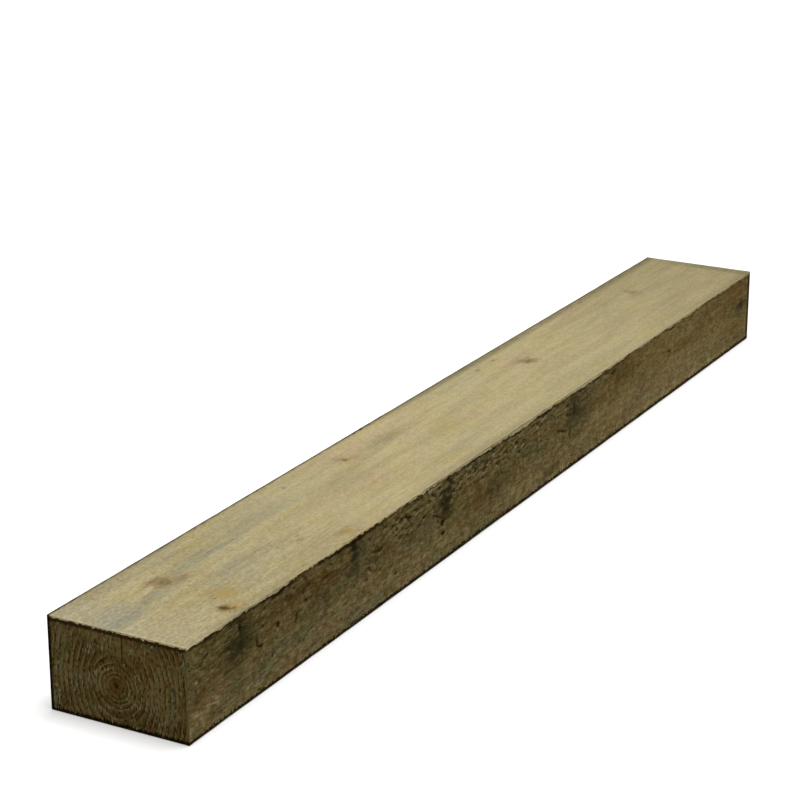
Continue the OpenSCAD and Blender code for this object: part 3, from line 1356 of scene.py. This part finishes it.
def ring_colours(wood):
    """The soaked wood of an end with its rings and its pith."""
    place, up = wood["Place"], wood["Up"]
    from_middle = wood["Across"].size()
    clouds = noise(place, (UNCHANGED, 12.0, 12.0), seed=17)
    wood["Blotches"] = noise(place, (UNCHANGED, 7.0, 7.0), seed=18, detail=3.0)
    # Painted shade in part: the end is painted darker than the top, partly for the preservative and partly
    # because it turns away from the lamp overhead.
    colour = cover(paint(137, 119, 70), paint(129, 101, 56), ramp(clouds, 0.38, 0.62) * 0.9)
    greened = ramp(wood["Blotches"], 0.48, 0.66) * ramp(from_middle, 8.0, 26.0, 0.2, 0.8)
    colour = cover(colour, paint(116, 117, 80), greened)
    soaking = noise(place, (UNCHANGED, 16.0, 16.0), seed=29, detail=1.0)
    colour = stain(colour, shade(ramp(soaking, 0.35, 0.65, 0.79, 1.18)))
    above_pith = ramp(up - from_middle * 0.6, 26.0, 32.0, 1.0, 0.35)
    clearness = ramp(noise(place, (UNCHANGED, 8.0, 8.0), seed=23), 0.36, 0.58, 0.15, 0.75) * above_pith
    colour = cover(colour, paint(76, 58, 28), wood["Late"] * clearness)
    colour = cover(colour, paint(178, 160, 108), wood["Early"] * clearness * 0.7)
    colour = stain(colour, paint(240, 226, 204), ramp(wood["Radius"], 5.0, 2.0))
    return stain(colour, paint(150, 120, 90), ramp(wood["Radius"], 1.3, 0.6))


print("The rings of the ends are ready")

# %% [markdown]
# The cross-cut saw has left upright hatching of bruised fibres, and pale flecks of lifted ones, over all of
# it. A drying check starts at the top edge and dies out above the pith.

# %% Cross cut and check
def cross_cut(wood, colour):
    """Lays the marks of the cross-cut saw and the drying check over a colour."""
    place, across, up = wood["Place"], wood["Across"], wood["Up"]
    travel = {"Travel": up, "Drift": across, "Pitch": 1.1}
    wood["Lines"] = use_group(place.tree, saw_marks, travel)["Lines"]
    wood["Hatch"] = noise(place, (UNCHANGED, 0.8, 2.2), seed=19, detail=2.0)
    colour = stain(colour, paint(172, 154, 110), ramp(wood["Hatch"], 0.5, 0.34))
    wood["Dashes"] = noise(place, (UNCHANGED, 0.9, 2.4), seed=24, detail=1.0)
    flecks = ramp(wood["Dashes"] + (wood["Blotches"] - 0.5) * 0.8, 0.65, 0.76)
    colour = cover(colour, paint(192, 176, 130), flecks * 0.65)
    check_wander = (noise(place, (UNCHANGED, 200.0, 5.0), seed=20) - 0.5) * 2.0
    from_check = (across + 2.8 + check_wander).size()
    check_reach = ramp(up, timber_thick - 18.0, timber_thick - 9.0)
    wood["Check"] = ramp(from_check, 0.32, 0.12) * check_reach
    return cover(colour, paint(34, 24, 14), wood["Check"] * 0.8)


print("The cross cut is ready")

# %% [markdown]
# Along its top edge the end has a dark bruise, and over that a ragged rim where the pale fibres of the top
# spill over, painted far paler than the top as a painted highlight along the edge. The back edge is dark, the
# front edge is rubbed pale, and along the foot a dark line is painted contact shadow.

# %% Edges of the end
def edges_of_the_end(wood, colour):
    """Lays the bruised and rubbed edges, a painted highlight along the top rim and a painted contact shadow
    along the foot, over a colour.
    """
    across, hatch = wood["Across"], wood["Hatch"]
    ragged = noise(wood["Place"], (UNCHANGED, 2.2, 0.9), seed=30, detail=1.0)
    from_top = wood["From Top"] + (ragged - 0.5) * 2.6
    colour = cover(colour, paint(62, 44, 18), ramp(from_top, 3.2, 2.4) * 0.9)
    # Painted highlight: the rim under the top edge, where the top's fibres spill over, is painted near white,
    # far paler than the top itself, so that it looks lit.
    colour = cover(colour, paint(252, 232, 178), ramp(from_top, 1.1, 0.6))
    back_edge = ramp(wood["From Side"] + (hatch - 0.5) * 1.2, 2.2, 1.1) * ramp(across, 0.0, 10.0, 0.0, 1.0)
    colour = stain(colour, paint(90, 74, 56), back_edge)
    front_edge = ramp(across + (hatch - 0.5) * 2.0, 1.6 - half_wide, 0.6 - half_wide)
    colour = cover(colour, paint(150, 134, 90), front_edge * 0.5)
    # Painted shadow: a dark line along the foot of the end, where it lies on the floor.
    painted_contact_shadow = ramp(wood["Up"] + (wood["Dashes"] - 0.5) * 4.0, 2.1, 1.5)
    return stain(colour, paint(104, 94, 74), painted_contact_shadow)


print("The edges of the ends are ready")

# %% [markdown]
# The two ends share one material. Its rings ignore the branches, because the cuts miss the knots.

# %% Cut end
def make_cut_end():
    """The finish of the two cross-cut ends."""
    material, wood = start_finish("cut_end", branched=False)
    colour = ring_colours(wood)
    for layer in (cross_cut, edges_of_the_end):
        colour = layer(wood, colour)
    height = wood["Lines"] * 0.12 + wood["Hatch"] * 0.2 - wood["Check"] * 0.8
    complete_finish(material, colour, ramp(wood["Blotches"], 0.3, 0.7, 0.78, 0.94), height)
    return material


cut_end = make_cut_end()

# %% [markdown]
# ## The timber
#
# Now the skin tree gets its two finishes and its sizes, and runs. The rows are counted so that the skin stays
# under 200,000 triangles: three to round each arris, and elsewhere about one every 0.8 mm round the
# section, which is as fine as the torn fibres need. Along the grain everything is drawn out, so rows there
# lie further apart.
#
# The section starts with crisp arrises. The hollows then wear them unevenly, which looks more like handled
# timber than the even rounding of the solid it stands for.

# %% Make the timber
crisp_arris = 0.0004
timber = grow("joist_timber", build_skin(sawn_face, cut_end), {
    "Length": length,
    "Width": width,
    "Thickness": thickness,
    "Arris Radius": crisp_arris,
    "Rows Along": 260,
    "Rows Across": 101,
    "Rows Up": 65,
})
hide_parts("joist")
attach(timber, "root")

# %% [markdown]
# ## Floor and light
#
# A pale floor and one wide, soft lamp overhead give the plain look of a studio. The floor is white to the
# camera and greyer to light that bounces off it, so that the sides of the timber stay darker than the top.
# It keeps the soft shadow, and lies a hair under the timber, so that the two surfaces never meet.

# %% A floor that looks white
WHITE = (1.0, 1.0, 1.0, 1.0)
NEARLY_WHITE = (0.92, 0.92, 0.92, 1.0)
MID_GREY = (0.3, 0.3, 0.3, 1.0)


def seen_directly(tree):
    """1 for the camera, in reflections and through glass, and 0 for the light that falls on things."""
    rays = tree.nodes.new("ShaderNodeLightPath").outputs
    seen = highest(Field(rays["Is Camera Ray"]), Field(rays["Is Glossy Ray"]))
    return highest(seen, Field(rays["Is Transmission Ray"]))


def make_pale_floor():
    """White to the camera and in reflections, grey to other light. Far off it is white without a lamp."""
    material = bpy.data.materials.new("pale_floor")
    material.use_nodes = True
    tree = material.node_tree
    seen = seen_directly(tree)
    principled = tree.nodes["Principled BSDF"]
    principled.inputs["Roughness"].default_value = 1.0
    principled.inputs["Specular IOR Level"].default_value = 0.0
    feed(principled.inputs["Base Color"], cover(MID_GREY, NEARLY_WHITE, seen))
    principled.inputs["Emission Color"].default_value = WHITE
    from_middle = Field(tree.nodes.new("ShaderNodeTexCoord").outputs["Object"]).size()
    feed(principled.inputs["Emission Strength"], seen * ramp(from_middle, 0.8, 3.0, 0.3, 1.0))
    return material


pale_floor = make_pale_floor()
print("Material", pale_floor.name, "has", len(pale_floor.node_tree.nodes), "nodes")

# %% [markdown]
# The floor is one square.

# %% Floor
floor_size = 12.0
floor_gap = 0.0002
floor_mesh = bpy.data.meshes.new("floor")
corners = [(x * floor_size / 2, y * floor_size / 2) for x, y in ((-1, -1), (1, -1), (1, 1), (-1, 1))]
floor_mesh.from_pydata([(x, y, low.z - floor_gap) for x, y in corners], [], [(0, 1, 2, 3)])
floor_mesh.materials.append(pale_floor)
floor = bpy.data.objects.new("floor", floor_mesh)
bpy.context.collection.objects.link(floor)
print("The floor is", floor_size, "m wide")

# %% [markdown]
# The lamp hangs a little to the front. The world around is white to the camera too, and adds only a weak
# light from all sides, which keeps the shaded faces from going black.

# %% Light
FILL_LIGHT = 0.25


def add_softbox(name, place, target, size, power):
    """A square area lamp that faces the target."""
    lamp = bpy.data.lights.new(name, "AREA")
    lamp.shape = "SQUARE"
    lamp.size = size
    lamp.energy = power
    softbox = bpy.data.objects.new(name, lamp)
    softbox.location = place
    softbox.rotation_euler = (Vector(target) - Vector(place)).to_track_quat("-Z", "Y").to_euler()
    softbox.visible_camera = False
    bpy.context.collection.objects.link(softbox)


add_softbox("overhead", (0.0, -0.3, 3.0), target=(low + high) / 2, size=1.5, power=72.0)

world = bpy.data.worlds.new("studio")
bpy.context.scene.world = world
world.use_nodes = True
background = world.node_tree.nodes["Background"]
background.inputs["Color"].default_value = WHITE
feed(background.inputs["Strength"], seen_directly(world.node_tree) * (1.0 - FILL_LIGHT) + FILL_LIGHT)
bpy.context.scene.view_settings.view_transform = "Standard"
print("The studio is lit")
